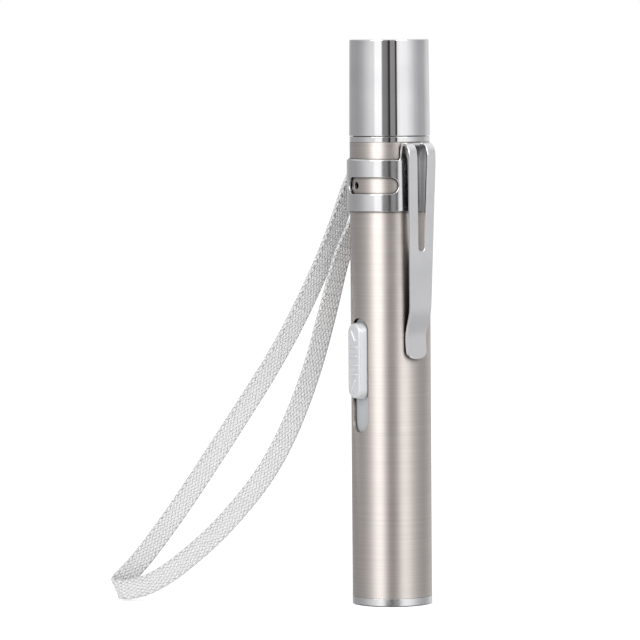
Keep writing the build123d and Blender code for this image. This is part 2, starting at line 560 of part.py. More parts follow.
with BuildPart() as clip_arm:
    with BuildSketch(Plane.XZ.offset(-CLIP_TOP_WIDTH / 2)):
        with BuildLine():
            bend_start = (PIVOT_X + CLIP_SPLIT / 2, BEND_Z)
            Spline(bend_start, shoulder, widest, tangents=((1, 0), arm_run))
            Line(widest, knee)
            Spline(knee, touch, tangents=(arm_run, (0, -1)))
            Spline(touch, tip, tangents=((0, -1), (0.2, -1)))
        trace(line_width=SHEET)
    extrude(amount=CLIP_TOP_WIDTH)
    with BuildSketch(Plane.YZ.offset(PIVOT_X - 2)):
        with BuildLine():
            half_top = CLIP_TOP_WIDTH / 2
            half_low = CLIP_LOW_WIDTH / 2
            tip_start = CLIP_TIP_Z + TIP_ROUND
            Polyline(
                (half_low, tip_start),
                (half_low, touch[1]),
                (half_top, widest[1]),
                (half_top, CLIP_TOP + 1),
                (0, CLIP_TOP + 1),
            )
            ThreePointArc((half_low, tip_start), (0, CLIP_TIP_Z), (-half_low, tip_start))
            Polyline(
                (-half_low, tip_start),
                (-half_low, touch[1]),
                (-half_top, widest[1]),
                (-half_top, CLIP_TOP + 1),
                (0, CLIP_TOP + 1),
            )
        make_face()
        with BuildLine():
            slit_top = SLIT_TOP_WIDTH / 2
            slit_low = SLIT_LOW_WIDTH / 2
            low_z = slit_low_z + slit_low
            Polyline((-slit_low, low_z), (-slit_top, slit_top_z), (slit_top, slit_top_z), (slit_low, low_z))
            ThreePointArc((slit_low, low_z), (0, slit_low_z), (-slit_low, low_z))
        make_face(mode=Mode.SUBTRACT)
    extrude(amount=5, mode=Mode.INTERSECT)
clip_arm.part.label = "clip_arm"
export_step(clip_arm.part, "parts/clip_arm.step")

# ---------------------------------------------------------------- lanyard
STRAP_X = -(TUBE_R + BRIDGE_INNER) / 2   # middle of the strap under the bridge

with BuildPart() as lanyard_joint:
    with Locations((STRAP_X, 0, JOINT_BOTTOM)):
        Box(STRAP_THICK + STRAP_PLAY, STRAP_WIDTH, JOINT_TOP - JOINT_BOTTOM, align=FLOOR)
    fillet(lanyard_joint.edges().filter_by(Axis.Z), 0.3)
lanyard_joint.part.label = "lanyard_joint"
export_step(lanyard_joint.part, "parts/lanyard_joint.step")

# The strap leaves the top of its joint, folds over the bridge's upper edge, runs down to a fold that rests on
# the table, and comes back up into the bottom of the joint. It stands for the flat strap's middle line.
STRAP_ROUTE = [
    (STRAP_X, 0, JOINT_TOP),
    (STRAP_X, 0, 79.0),
    (-9.4, 0, 79.0),
    (-9.5, -0.1, 75.9),
    (-10.6, -1.5, 71.9),
    (-11.7, -3.0, 66.2),
    (-13.9, -6.2, 56.4),
    (-17.6, -11.4, 43.8),
    (-22.8, -18.9, 29.7),
    (-27.4, -25.6, 17.4),
    (-30.6, -30.3, 9.6),
    (-32.4, -32.8, 5.9),
    (-33.5, -34.3, 4.0),
    (-34.1, -35.6, 2.7),
    (-32.5, -36.7, 2.1),
    (-30.6, -35.3, 2.1),
    (-28.0, -32.0, 3.2),
    (-25.0, -27.3, 6.9),
    (-20.9, -20.6, 13.9),
    (-16.4, -13.5, 24.4),
    (-13.2, -8.3, 38.5),
    (-11.3, -5.0, 52.4),
    (-10.3, -3.4, 60.2),
    (-9.1, -1.6, 65.4),
    (-7.7, 0, 68.8),
    (STRAP_X, 0, JOINT_BOTTOM),
]


def corner_radii(route):
    """Arc radius for each inner corner of the route: as large as its two runs allow."""
    radii = []
    for before, corner, after in zip(route, route[1:], route[2:]):
        run_in = Vector(*corner) - Vector(*before)
        run_out = Vector(*after) - Vector(*corner)
        half_turn = math.radians(run_in.get_angle(run_out) / 2)
        radii.append(0.45 * min(run_in.length, run_out.length) / math.tan(half_turn))
    return radii


strap_radii = corner_radii(STRAP_ROUTE)
print("strap corner radii:", [round(radius, 2) for radius in strap_radii])

with BuildPart() as lanyard_strap:
    with BuildLine() as strap_line:
        FilletPolyline(*STRAP_ROUTE, radius=strap_radii)
    with BuildSketch(Plane.XY.offset(JOINT_TOP)):
        with Locations((STRAP_X, 0)):
            Circle(STRAP_THICK / 2)
    sweep()
lanyard_strap.part.label = "lanyard_strap"
export_step(lanyard_strap.part, "parts/lanyard_strap.step")

strap_length = strap_line.wire().length
strap_solid = math.pi * (STRAP_THICK / 2) ** 2 * strap_length
print("strap length:", round(strap_length, 1))
print("volume over section times length:", round(lanyard_strap.part.volume / strap_solid, 4))
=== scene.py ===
import math

import bpy
import numpy as np
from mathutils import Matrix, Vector
from mathutils.geometry import delaunay_2d_cdt


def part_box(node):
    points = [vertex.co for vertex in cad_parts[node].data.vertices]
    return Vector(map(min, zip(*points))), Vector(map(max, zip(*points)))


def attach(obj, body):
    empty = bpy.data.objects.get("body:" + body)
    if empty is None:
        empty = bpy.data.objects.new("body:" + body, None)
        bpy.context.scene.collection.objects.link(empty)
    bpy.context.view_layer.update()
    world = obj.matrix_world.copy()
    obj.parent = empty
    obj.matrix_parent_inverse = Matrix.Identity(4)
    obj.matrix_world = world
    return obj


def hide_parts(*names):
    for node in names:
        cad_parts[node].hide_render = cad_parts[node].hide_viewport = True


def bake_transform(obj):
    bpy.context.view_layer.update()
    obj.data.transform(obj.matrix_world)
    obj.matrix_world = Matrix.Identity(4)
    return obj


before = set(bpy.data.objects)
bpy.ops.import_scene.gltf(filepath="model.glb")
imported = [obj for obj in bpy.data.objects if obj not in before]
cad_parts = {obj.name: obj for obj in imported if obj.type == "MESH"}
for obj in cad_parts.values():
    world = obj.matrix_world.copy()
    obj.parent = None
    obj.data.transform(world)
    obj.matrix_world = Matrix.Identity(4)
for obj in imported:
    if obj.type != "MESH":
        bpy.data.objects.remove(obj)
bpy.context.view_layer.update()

# Slim rechargeable examination penlight, standing on its light end, with its lanyard hanging to one side.
# Shapes are worked out in millimetres from the CAD nodes' boxes, and become metres when a mesh is made.
MM = 0.001


def node_box(node):
    """Lowest and highest corner of a CAD node, in millimetres."""
    low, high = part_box(node)
    return low / MM, high / MM


# ---------------------------------------------------------------- camera and studio
CAMERA_DISTANCE = 800
CAMERA_HEIGHT = 95
CAMERA_AZIMUTH = 53.5     # degrees; the camera sees the clip and the switch
CAMERA_LENS = 256.8
CAMERA_ROLL = -0.416
AIM_HEIGHT = 49.92
AIM_ASIDE = 12.4          # the pen stands this far to the right of the middle of the view
BOX_AHEAD = 420           # the two soft boxes stand this far ahead of the pen, to its sides and above it
BOX_ASIDE = 330
BOX_HEIGHT = 330
BOX_SIZE = 0.35           # metres

azimuth = math.radians(CAMERA_AZIMUTH)
to_camera = Vector((math.sin(azimuth), -math.cos(azimuth), 0))
view_right = Vector((math.cos(azimuth), math.sin(azimuth), 0))


def make_camera():
    """Long-lens camera, a little above the cap."""
    data = bpy.data.cameras.new("camera")
    data.lens = CAMERA_LENS
    camera = bpy.data.objects.new("camera", data)
    bpy.context.scene.collection.objects.link(camera)
    camera.location = (to_camera * CAMERA_DISTANCE + Vector((0, 0, CAMERA_HEIGHT))) * MM
    aim = (Vector((0, 0, AIM_HEIGHT)) - view_right * AIM_ASIDE) * MM
    camera.rotation_euler = (aim - camera.location).to_track_quat("-Z", "Y").to_euler()
    camera.rotation_euler.rotate_axis("Z", math.radians(CAMERA_ROLL))
    bpy.context.scene.camera = camera


def colour(hex_value, strength=1.0):
    """Linear RGBA of an sRGB hex colour."""
    channels = [int(hex_value[i:i + 2], 16) / 255 for i in (1, 3, 5)]
    linear = [c / 12.92 if c <= 0.04045 else ((c + 0.055) / 1.055) ** 2.4 for c in channels]
    return (*[c * strength for c in linear], 1.0)


def add_node(tree, kind, settings=None, inputs=None, links=None):
    """Adds a node: settings are its properties, inputs its sockets' values, links what feeds its sockets."""
    node = tree.nodes.new(kind)
    for key, value in (settings or {}).items():
        setattr(node, key, value)
    for key, value in (inputs or {}).items():
        node.inputs[key].default_value = value
    for key, source in (links or {}).items():
        tree.links.new(source, node.inputs[key])
    return node


def set_ramp(node, stops):
    """Fills a colour ramp with (place, colour) stops."""
    ramp = node.color_ramp
    while len(ramp.elements) > 1:
        ramp.elements.remove(ramp.elements[0])
    ramp.elements[0].position, ramp.elements[0].color = stops[0]
    for place, shade in stops[1:]:
        ramp.elements.new(place).color = shade


# Brightness of the studio round the pen, as (degrees from the camera, shade, strength): the dark lens, the
# grey room in front, a large soft box on each side and the paler room behind.
STUDIO_RING = [
    (-180, "#D4D4D4", 1.15), (-162, "#B4B4B4", 1.15), (-140, "#9C9C9D", 1.15), (-104, "#989899", 1.15),
    (-86, "#A6A6A7", 1.15), (-71, "#C0C0C0", 1.15), (-57, "#D6D5D5", 1.15), (-45, "#DEDDDD", 1.15),
    (-41, "#FFFFFF", 1.15), (-23, "#FFFFFF", 1.15), (-19.5, "#8A8888", 1.05), (-6, "#7C7A7A", 1.05),
    (-1.6, "#303032", 1.0), (1.6, "#303032", 1.0), (4, "#908E8E", 1.1), (16, "#8C8A89", 1.1),
    (18.5, "#202022", 1.0), (21, "#202022", 1.0), (23.5, "#E2E2E2", 1.15), (32, "#F4F4F4", 1.15),
    (50, "#F0F0F0", 1.15), (64, "#D6D6D7", 1.2), (80, "#B4B4B5", 1.2), (96, "#A4A4A5", 1.15),
    (116, "#A6A6A7", 1.15), (140, "#CECECE", 1.15),
]


def make_studio():
    """Soft studio: a ring of light and shade round the pen, seen in its metal, on a plain white ground."""
    world = bpy.data.worlds.new("studio")
    bpy.context.scene.world = world
    world.use_nodes = True
    tree = world.node_tree
    tree.nodes.clear()
    place = add_node(tree, "ShaderNodeTexCoord")
    rotated = add_node(
        tree, "ShaderNodeMapping", inputs={"Rotation": (0, 0, math.pi / 2 - azimuth)},
        links={"Vector": place.outputs["Generated"]},
    )
    parts = add_node(tree, "ShaderNodeSeparateXYZ", links={"Vector": rotated.outputs[0]})
    angle = add_node(
        tree, "ShaderNodeMath", {"operation": "ARCTAN2"}, links={0: parts.outputs[1], 1: parts.outputs[0]}
    )
    share = add_node(
        tree, "ShaderNodeMapRange", inputs={"From Min": -math.pi, "From Max": math.pi},
        links={"Value": angle.outputs[0]},
    )
    ring = add_node(tree, "ShaderNodeValToRGB", links={"Fac": share.outputs[0]})
    set_ramp(ring, [((degrees + 180) / 360, colour(*shade)) for degrees, *shade in STUDIO_RING])
    height = add_node(
        tree, "ShaderNodeMapRange", inputs={"From Min": 0.35, "From Max": 0.8},
        links={"Value": parts.outputs[2]},
    )
    ceiling = add_node(
        tree, "ShaderNodeMix", {"data_type": "RGBA"}, {7: colour("#F4F4F6")},
        {0: height.outputs[0], 6: ring.outputs[0]},
    )
    seen = add_node(tree, "ShaderNodeLightPath")
    lit = add_node(tree, "ShaderNodeBackground", links={"Color": ceiling.outputs[2]})
    plain = add_node(tree, "ShaderNodeBackground", inputs={"Color": colour("#FFFFFF")})
    both = add_node(
        tree, "ShaderNodeMixShader",
        links={0: seen.outputs["Is Camera Ray"], 1: lit.outputs[0], 2: plain.outputs[0]},
    )
    add_node(tree, "ShaderNodeOutputWorld", links={"Surface": both.outputs[0]})
    bpy.context.scene.view_settings.view_transform = "Standard"

    for name, side, power in (("key_box", -1, 1.6), ("fill_box", 1, 0.9)):
        lamp = bpy.data.lights.new(name, "AREA")
        lamp.size = BOX_SIZE
        lamp.energy = power
        light = bpy.data.objects.new(name, lamp)
        bpy.context.scene.collection.objects.link(light)
        place = to_camera * BOX_AHEAD + view_right * side * BOX_ASIDE + Vector((0, 0, BOX_HEIGHT))
        light.location = place * MM
        aim = Vector((0, 0, AIM_HEIGHT)) * MM
        light.rotation_euler = (aim - light.location).to_track_quat("-Z", "Y").to_euler()


# ---------------------------------------------------------------- mesh helpers
TINY = 1e-6               # lengths below this count as none, in millimetres
LIP_STEPS = 3             # facets in each quarter turn of a sheet's rolled lip


def unit(vectors):
    """The rows of an array, each brought to length 1."""
    return vectors / np.maximum(np.linalg.norm(vectors, axis=1, keepdims=True), 1e-9)


def make_mesh(name, points, faces, normals=None, uvs=None):
    """Object from points in millimetres. Points that coincide become one, and faces left without area are
    dropped. Normals, one for each point, shade it."""
    points = np.asarray(points, float)
    _, first, index = np.unique(np.round(points, 5), axis=0, return_index=True, return_inverse=True)
    index = index.reshape(-1)
    merged = [[index[i] for i in face] for face in faces]
    kept, corners = [], []
    for face, old in zip(merged, faces):
        if len(set(face)) == len(face):
            kept.append([int(i) for i in face])
            corners.append(old)
        elif len(face) == 4 and len(set(face)) == 3:
            pick = [k for k in range(4) if face[k] != face[k - 1]]
            kept.append([int(face[k]) for k in pick])
            corners.append([old[k] for k in pick])
    mesh = bpy.data.meshes.new(name)
    mesh.from_pydata((points[first] * MM).tolist(), [], kept)
    mesh.polygons.foreach_set("use_smooth", [True] * len(mesh.polygons))
    if uvs is not None:
        layer = mesh.uv_layers.new(name="UVMap")
        flat = np.array([uvs[i] for face in corners for i in face], float)
        layer.data.foreach_set("uv", flat.ravel())
    mesh.update()
    if normals is not None:
        summed = np.zeros((len(first), 3))
        np.add.at(summed, index, np.asarray(normals, float))
        mesh.normals_split_custom_set_from_vertices(unit(summed).tolist())
    piece = bpy.data.objects.new(name, mesh)
    bpy.context.scene.collection.objects.link(piece)
    return piece


def rounded_outline(corners, steps=5):
    """Closed outline with rounded corners, from (x, y, radius) corners: its points and outward normals.
    The corners run anticlockwise."""
    points, normals = [], []
    count = len(corners)
    for i in range(count):
        before, here, after = (np.array(corners[(i + k) % count][:2], float) for k in (-1, 0, 1))
        radius = corners[i][2]
        run_in, run_out = here - before, after - here
        run_in /= np.linalg.norm(run_in)
        run_out /= np.linalg.norm(run_out)
        turn = math.atan2(run_in[0] * run_out[1] - run_in[1] * run_out[0], run_in @ run_out)
        trim = radius * abs(math.tan(turn / 2))
        side = 1 if turn > 0 else -1
        centre = here - run_in * trim + side * radius * np.array((-run_in[1], run_in[0]))
        for k in range(steps + 1):
            a = turn * k / steps
            x, y = run_in[1], -run_in[0]
            out = np.array((x * math.cos(a) - y * math.sin(a), x * math.sin(a) + y * math.cos(a)))
            points.append(centre + side * radius * out)
            normals.append(out)
    return np.array(points), np.array(normals)


def turned(name, corners, steps=5, around=160):
    """Piece turned about the pen's axis, from the (radius, height, rounding) corners of its half section."""
    outline, out = rounded_outline(corners, steps)
    outline[:, 0] = np.maximum(outline[:, 0], 0)
    points, normals, faces = [], [], []
    for k in range(around):
        a = 2 * math.pi * k / around
        c, s = math.cos(a), math.sin(a)
        points += [(r * c, r * s, z) for r, z in outline]
        normals += [(r * c, r * s, z) for r, z in out]
    rows = len(outline)
    for k in range(around):
        for i in range(rows):
            j = (i + 1) % rows
            if max(outline[i, 0], outline[j, 0]) > 0:
                here, there = k * rows, (k + 1) % around * rows
                faces.append((here + i, there + i, there + j, here + j))
    return make_mesh(name, points, faces, normals)


def inside(points, loops):
    """Whether each point is in the region that the loops bound."""
    result = np.zeros(len(points), bool)
    for loop in loops:
        a, b = loop, np.roll(loop, -1, axis=0)
        for (x0, y0), (x1, y1) in zip(a, b):
            if y0 == y1:
                continue
            crosses = (y0 > points[:, 1]) != (y1 > points[:, 1])
            at = x0 + (points[:, 1] - y0) * (x1 - x0) / (y1 - y0)
            result ^= crosses & (points[:, 0] < at)
    return result


def subdivided(loop, longest):
    """The loop with points added so that no edge is longer than the given length."""
    result = []
    for a, b in zip(loop, np.roll(loop, -1, axis=0)):
        parts = max(1, math.ceil(np.linalg.norm(b - a) / longest - TINY))
        result += [a + (b - a) * k / parts for k in range(parts)]
    return np.array(result)


def loop_normals(loop, seam):
    """Outward directions along a loop that has the sheet on its left; a seam's edges don't count."""
    before, after = np.roll(loop, 1, axis=0), np.roll(loop, -1, axis=0)
    run_in, run_out = loop - before, after - loop
    on_seam, from_seam, to_seam = (np.abs(np.abs(p[:, 0]) - seam) < TINY for p in (loop, before, after))
    n_in, n_out = (unit(np.stack([run[:, 1], -run[:, 0]], 1)) for run in (run_in, run_out))
    in_seam, out_seam = on_seam & from_seam, on_seam & to_seam
    n_in[in_seam] = n_out[in_seam]
    n_out[out_seam] = n_in[out_seam]
    total = unit(n_in + n_out)
    return total / np.maximum((total * n_in).sum(1), 0.5)[:, None]


def grid_inside(loops, spacing):
    """Points of a grid that lie in the region that the loops bound and keep clear of its edges."""
    ends = np.concatenate(loops)
    low, high = ends.min(0), ends.max(0)
    columns, rows = (max(2, round(extent / spacing)) for extent in high - low)
    grid = np.stack(np.meshgrid(
        np.linspace(low[0], high[0], columns + 1)[1:-1], np.linspace(low[1], high[1], rows + 1)[1:-1]
    ), -1).reshape(-1, 2)
    grid = grid[inside(grid, loops)]
    for loop in loops:
        near = np.zeros(len(grid), bool)
        for a, b in zip(loop, np.roll(loop, -1, axis=0)):
            run = b - a
            if max(abs(run)) < 1e-9:
                continue
            share = np.clip(((grid - a) @ run) / (run @ run), 0, 1)
            near |= np.hypot(*(grid - a - share[:, None] * run).T) < 0.45 * spacing
        grid = grid[~near]
    return grid


def lip_profile(thickness, lip):
    """Rolled lip, from the sheet's upper face to its lower one, as (reach, height, outward, upward) rows."""
    angles = [math.pi / 2 * k / LIP_STEPS for k in range(1, LIP_STEPS + 1)]
    flat = thickness / 2 - lip
    upper = [(lip * math.sin(a), flat + lip * math.cos(a), math.sin(a), math.cos(a)) for a in angles]
    return upper + [(reach, -height, out, -up) for reach, height, out, up in upper[::-1]]


def sheet_piece(name, loops, place, thickness, lip, spacing, seam=math.inf):
    """Piece of sheet with rolled lips. loops are its outline, anticlockwise, and its holes, clockwise, in u
    and v; place turns arrays of u and v into points on the sheet's middle. Edges at u = +-seam are welded."""
    loops = [subdivided(loop, spacing) for loop in loops]
    outward = [loop_normals(loop, seam) for loop in loops]
    inset = [loop - lip * out for loop, out in zip(loops, outward)]
    starts = np.cumsum([0] + [len(loop) for loop in loops])
    edges = [
        (int(start + i), int(start + (i + 1) % len(loop)))
        for start, loop in zip(starts, loops) for i in range(len(loop))
    ]
    flat = [Vector(p) for p in np.concatenate([*inset, grid_inside(inset, spacing)])]
    found = delaunay_2d_cdt(flat, edges, [], 1, 1e-7)
    flat = np.array([v[:] for v in found[0]])
    triangles = np.array(found[2])
    triangles = triangles[inside(flat[triangles].mean(1), inset)]
    made_from = {old[0]: i for i, old in enumerate(found[3]) if old}

    # Rows of points: the upper and the lower face come first, then the rings of each loop's lip.
    count = len(flat)
    rows = [
        (flat, np.full((count, 1), side * thickness / 2), np.zeros_like(flat), np.full((count, 1), side))
        for side in (1.0, -1.0)
    ]
    faces = [tuple(t) for t in triangles] + [tuple(t[::-1] + count) for t in triangles]
    base = 2 * count
    for start, loop, out in zip(starts, inset, outward):
        size = len(loop)
        first = [made_from[int(start + i)] for i in range(size)]
        rings = [first]
        for reach, lift, n_out, n_up in lip_profile(thickness, lip):
            rows.append((
                loop + out * reach, np.full((size, 1), lift), unit(out) * n_out, np.full((size, 1), n_up)
            ))
            rings.append(list(range(base, base + size)))
            base += size
        rings.append([count + i for i in first])
        for i in range(size):
            j = (i + 1) % size
            if abs(abs(loop[i, 0]) - seam) < TINY and abs(abs(loop[j, 0]) - seam) < TINY:
                continue
            for ring, lower in zip(rings, rings[1:]):
                faces.append((ring[i], lower[i], lower[j], ring[j]))
    uv, height, n_uv, n_up = (np.concatenate(column) for column in zip(*rows))

    small = 1e-3
    u, v = uv.T
    along_u = (place(u + small, v) - place(u - small, v)) / (2 * small)
    along_v = (place(u, v + small) - place(u, v - small)) / (2 * small)
    up = unit(np.cross(along_u, along_v))
    normals = (
        along_u / (along_u**2).sum(1)[:, None] * n_uv[:, :1]
        + along_v / (along_v**2).sum(1)[:, None] * n_uv[:, 1:]
        + up * n_up
    )
    return make_mesh(name, place(u, v) + up * height, faces, unit(normals), uv)


def stadium(u, v, half_u, half_v, steps):
    """Clockwise outline of a slot with round ends, lengthwise along its longer half, or of a round hole."""
    radius = min(half_u, half_v)
    run = max(half_u, half_v) - radius
    angles = np.linspace(0, math.pi, steps + 1)
    upper = np.stack([radius * np.cos(angles), run + radius * np.sin(angles)], 1)
    loop = np.concatenate([upper, -upper])
    if half_u > half_v:
        loop = np.stack([loop[:, 1], -loop[:, 0]], 1)
    if run < TINY:
        loop = np.concatenate([upper[:-1], -upper[:-1]])
    return (loop + (u, v))[::-1]


def band_line(seam, v, count):
    """Points along an edge that goes once round, from one side of the seam to the other."""
    return np.linspace((-seam, v), (seam, v), count)


# ---------------------------------------------------------------- materials
def new_material(name, **values):
    """Material with one principled shader; values are set on the shader's own sockets."""
    material = bpy.data.materials.new(name)
    material.use_nodes = True
    shader = material.node_tree.nodes["Principled BSDF"]
    for key, value in values.items():
        shader.inputs[key.replace("_", " ")].default_value = value
    return material, shader


def grain(shader, scale, size, detail=3.0, roughness=0.5, source="Object"):
    """Noise over Object or UV coordinates that are first scaled."""
    tree = shader.id_data
    place = add_node(tree, "ShaderNodeTexCoord")
    scaled = add_node(
        tree, "ShaderNodeMapping", inputs={"Scale": scale}, links={"Vector": place.outputs[source]}
    )
    return add_node(
        tree, "ShaderNodeTexNoise", inputs={"Scale": size, "Detail": detail, "Roughness": roughness},
        links={"Vector": scaled.outputs[0]},
    )


def spread_to(shader, socket, noise, low, high):
    """Feeds a socket of the shader with noise spread between two values."""
    tree = shader.id_data
    span = add_node(
        tree, "ShaderNodeMapRange", inputs={"From Min": 0.3, "From Max": 0.7, "To Min": low, "To Max": high},
        links={"Value": noise.outputs[0]},
    )
    tree.links.new(span.outputs[0], shader.inputs[socket])


def tint_with(shader, noise, dark, light):
    """Feeds the base colour with noise between two colours."""
    tree = shader.id_data
    ramp = add_node(tree, "ShaderNodeValToRGB", links={"Fac": noise.outputs[0]})
    set_ramp(ramp, [(0.3, colour(dark)), (0.7, colour(light))])
    tree.links.new(ramp.outputs[0], shader.inputs["Base Color"])


def bump_with(shader, noise, strength, distance):
    """Bumps the surface with noise; distance is in millimetres."""
    tree = shader.id_data
    bump = add_node(
        tree, "ShaderNodeBump", inputs={"Strength": strength, "Distance": distance * MM},
        links={"Height": noise.outputs[0]},
    )
    tree.links.new(bump.outputs[0], shader.inputs["Normal"])


def paint_corner_shade(shader, reach):
    """Paints shade into the base colour: it goes dark in seams, slots, gaps between parts and inner corners
    narrower than reach, in millimetres.
    """
    tree = shader.id_data
    hollow = add_node(tree, "ShaderNodeAmbientOcclusion", {"samples": 8}, {"Distance": reach * MM})
    share = add_node(tree, "ShaderNodeValToRGB", links={"Fac": hollow.outputs["AO"]})
    # Painted shade: deep occlusion turns the base colour near black, open surfaces keep their own colour.
    set_ramp(share, [(0.35, colour("#1A1816")), (0.85, colour("#FFFFFF"))])
    source = shader.inputs["Base Color"].links[0].from_socket
    both = add_node(
        tree, "ShaderNodeMix", {"data_type": "RGBA", "blend_type": "MULTIPLY"}, {0: 1.0},
        {6: source, 7: share.outputs[0]},
    )
    tree.links.new(both.outputs[2], shader.inputs["Base Color"])


def brushed_stainless():
    """304 stainless tube, brushed round its circumference: warm grey, highlights drawn out along it."""
    material, shader = new_material(
        "brushed_stainless_steel", Metallic=1.0, Anisotropic=0.7, Anisotropic_Rotation=0.25
    )
    lines = grain(shader, (30, 30, 5200), 1.0, detail=2.0, roughness=0.6)   # brush lines, 0.2 mm apart
    tint_with(shader, lines, "#D0C9C4", "#DCD5D0")
    broad = grain(shader, (60, 60, 420), 1.0)                               # bands where the belt cut deeper
    spread_to(shader, "Roughness", broad, 0.45, 0.49)
    bump_with(shader, lines, 0.05, 0.004)
    tree = material.node_tree
    around = add_node(tree, "ShaderNodeTangent", {"direction_type": "RADIAL", "axis": "Z"})
    tree.links.new(around.outputs[0], shader.inputs["Tangent"])
    # Painted shade: the steel goes dark in the slot's and hole's walls, round the knob and where the clip's
    # arm runs close over the tube.
    paint_corner_shade(shader, 2.2)
    return material


def chrome(name, dark, light, low, high, ripple, reach=0.3):
    """Chromium plate: a clear mirror or a soft one, with the faint waviness of the polished metal below and
    painted shade in its corners.
    """
    material, shader = new_material(name, Metallic=1.0)
    cloud = grain(shader, (1, 1, 1), 160.0, detail=4.0)
    tint_with(shader, cloud, dark, light)
    spread_to(shader, "Roughness", grain(shader, (1, 1, 1), 900.0), low, high)
    bump_with(shader, grain(shader, (1, 1, 0.35), 240.0, detail=1.0), 0.25, ripple)
    # Painted shade in seams and corners within reach, in millimetres.
    paint_corner_shade(shader, reach)
    return material


def satin_coat(name, dark, light, low, high, metallic, coat):
    """Silver paint or moulded plastic: a fine sparkle or grain under a soft sheen."""
    material, shader = new_material(name, Metallic=metallic, Coat_Weight=coat, Coat_Roughness=0.25)
    fine = grain(shader, (1, 1, 1), 5200.0, detail=2.0)     # flakes or moulding grain, 0.2 mm across
    tint_with(shader, fine, dark, light)
    spread_to(shader, "Roughness", grain(shader, (1, 1, 1), 700.0), low, high)
    bump_with(shader, fine, 0.2, 0.01)
    return material


def plain_finish(name, dark, light, low, high, size=900.0, metallic=0.0, ripple=0.02, **values):
    """Moulded, printed or drawn stock inside the pen: one colour with slight variation and a fine surface."""
    material, shader = new_material(name, Metallic=metallic, **values)
    cloud = grain(shader, (1, 1, 1), size, detail=4.0)
    tint_with(shader, cloud, dark, light)
    spread_to(shader, "Roughness", cloud, low, high)
    bump_with(shader, cloud, 0.3, ripple)
    return material


def nylon_braid():
    """White bright nylon yarn: fine filaments run along each yarn and give it a soft silvery sheen."""
    material, shader = new_material(
        "nylon_yarn", Sheen_Weight=0.35, Sheen_Roughness=0.4, Subsurface_Weight=0.15,
        Subsurface_Radius=(0.6, 0.6, 0.6), Subsurface_Scale=0.0006,
    )
    filaments = grain(shader, (9.0, 1.2, 1.0), 1.0, source="UV")
    tint_with(shader, filaments, "#BCBCBC", "#DADADA")
    spread_to(shader, "Roughness", filaments, 0.34, 0.55)
    bump_with(shader, filaments, 0.5, 0.05)
    return material


def clear_window():
    """Clear acrylic window: water-clear, with a faintly uneven moulded face."""
    material, shader = new_material(
        "clear_acrylic", Base_Color=colour("#F6FAFB"), IOR=1.49, Transmission_Weight=1.0
    )
    ripple = grain(shader, (1, 1, 1), 300.0, detail=1.0)
    spread_to(shader, "Roughness", ripple, 0.02, 0.05)
    bump_with(shader, ripple, 0.1, 0.01)
    return material


def phosphor(name, dark, light):
    """LED package: a silicone lens full of phosphor, yellow while the light is off."""
    return plain_finish(name, dark, light, 0.3, 0.42, size=2500.0, IOR=1.41)


materials = {
    "tube": brushed_stainless(),
    "chrome": chrome("bright_chrome_plate", "#E6E6E8", "#F1F1F2", 0.035, 0.06, 0.012),
    # The clip's painted shade reaches 2.6 mm, darkening its arm where it runs close to the tube.
    "clip": chrome("chrome_plated_clip", "#E6E6E8", "#F0F0F1", 0.12, 0.17, 0.012, reach=2.6),
    "knob": satin_coat("satin_silver_paint", "#C6C7C9", "#D0D1D3", 0.34, 0.42, 0.35, 0.3),
    "shutter": satin_coat("grey_acetal_shutter", "#9A9C9E", "#A4A6A8", 0.45, 0.55, 0.0, 0.0),
    "yarn": nylon_braid(),
    "weld": plain_finish("heat_welded_nylon", "#D2D2D4", "#E8E8EA", 0.35, 0.5, size=2600.0, ripple=0.05),
    "window": clear_window(),
    "rim": chrome("satin_chrome_rim", "#E2E2E4", "#EEEEEF", 0.22, 0.30, 0.01),
    "reflector": chrome("vacuum_metallised_reflector", "#E9E7E4", "#F4F3F1", 0.04, 0.08, 0.01),
    "light_board": plain_finish("white_solder_mask", "#E4E6E2", "#F0F1EE", 0.35, 0.5),
    "white_led": phosphor("cool_phosphor", "#D9C95A", "#EBDD78"),
    "warm_led": phosphor("warm_phosphor", "#D08A2E", "#E3A24A"),
    "washer": plain_finish("vulcanised_fibre", "#7E3B2A", "#93493A", 0.6, 0.75, size=1500.0),
    "cell": plain_finish("cell_shrink_wrap", "#2F6DA8", "#3A7CB8", 0.25, 0.4, size=500.0, IOR=1.5),
    "nickel": plain_finish("nickel_strip", "#B9B4A8", "#CBC6BB", 0.25, 0.38, metallic=1.0),
    "wire": plain_finish("wire_jacket", "#B02A22", "#C23A30", 0.35, 0.5),
    "chassis": plain_finish("black_polycarbonate", "#19191B", "#232326", 0.4, 0.55, IOR=1.58),
    "holder": plain_finish("grey_abs_holder", "#2A2B2D", "#36373A", 0.4, 0.55, IOR=1.54),
    "board": plain_finish("green_solder_mask", "#1E5B3A", "#276B46", 0.3, 0.45, IOR=1.5),
    "black": plain_finish("black_glass_filled_nylon", "#141416", "#1E1E20", 0.45, 0.6, IOR=1.53),
    "lever": plain_finish("dark_acetal_lever", "#1B1B1D", "#252528", 0.35, 0.5, IOR=1.48),
    "pipe": plain_finish("smoked_light_pipe", "#050506", "#08080A", 0.5, 0.6, IOR=1.49),
    "tin": plain_finish("tinned_brass_pin", "#B9B8B4", "#CFCECB", 0.25, 0.4, metallic=1.0),
    "plug": plain_finish("nickel_plated_plug_shell", "#C6C5C3", "#D8D7D5", 0.16, 0.26, metallic=1.0),
    "gold": plain_finish("gold_flashed_contact", "#D9A94A", "#E8BE63", 0.15, 0.28, metallic=1.0),
}


def coat(piece, material):
    """Gives a piece one of the materials and no other."""
    piece.data.materials.clear()
    piece.data.materials.append(materials[material])


def finish_piece(piece, material, body, replaced):
    """Gives a new piece its material and its body, and hides the CAD nodes it stands for."""
    coat(piece, material)
    if body:
        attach(piece, body)
    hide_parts(*replaced)


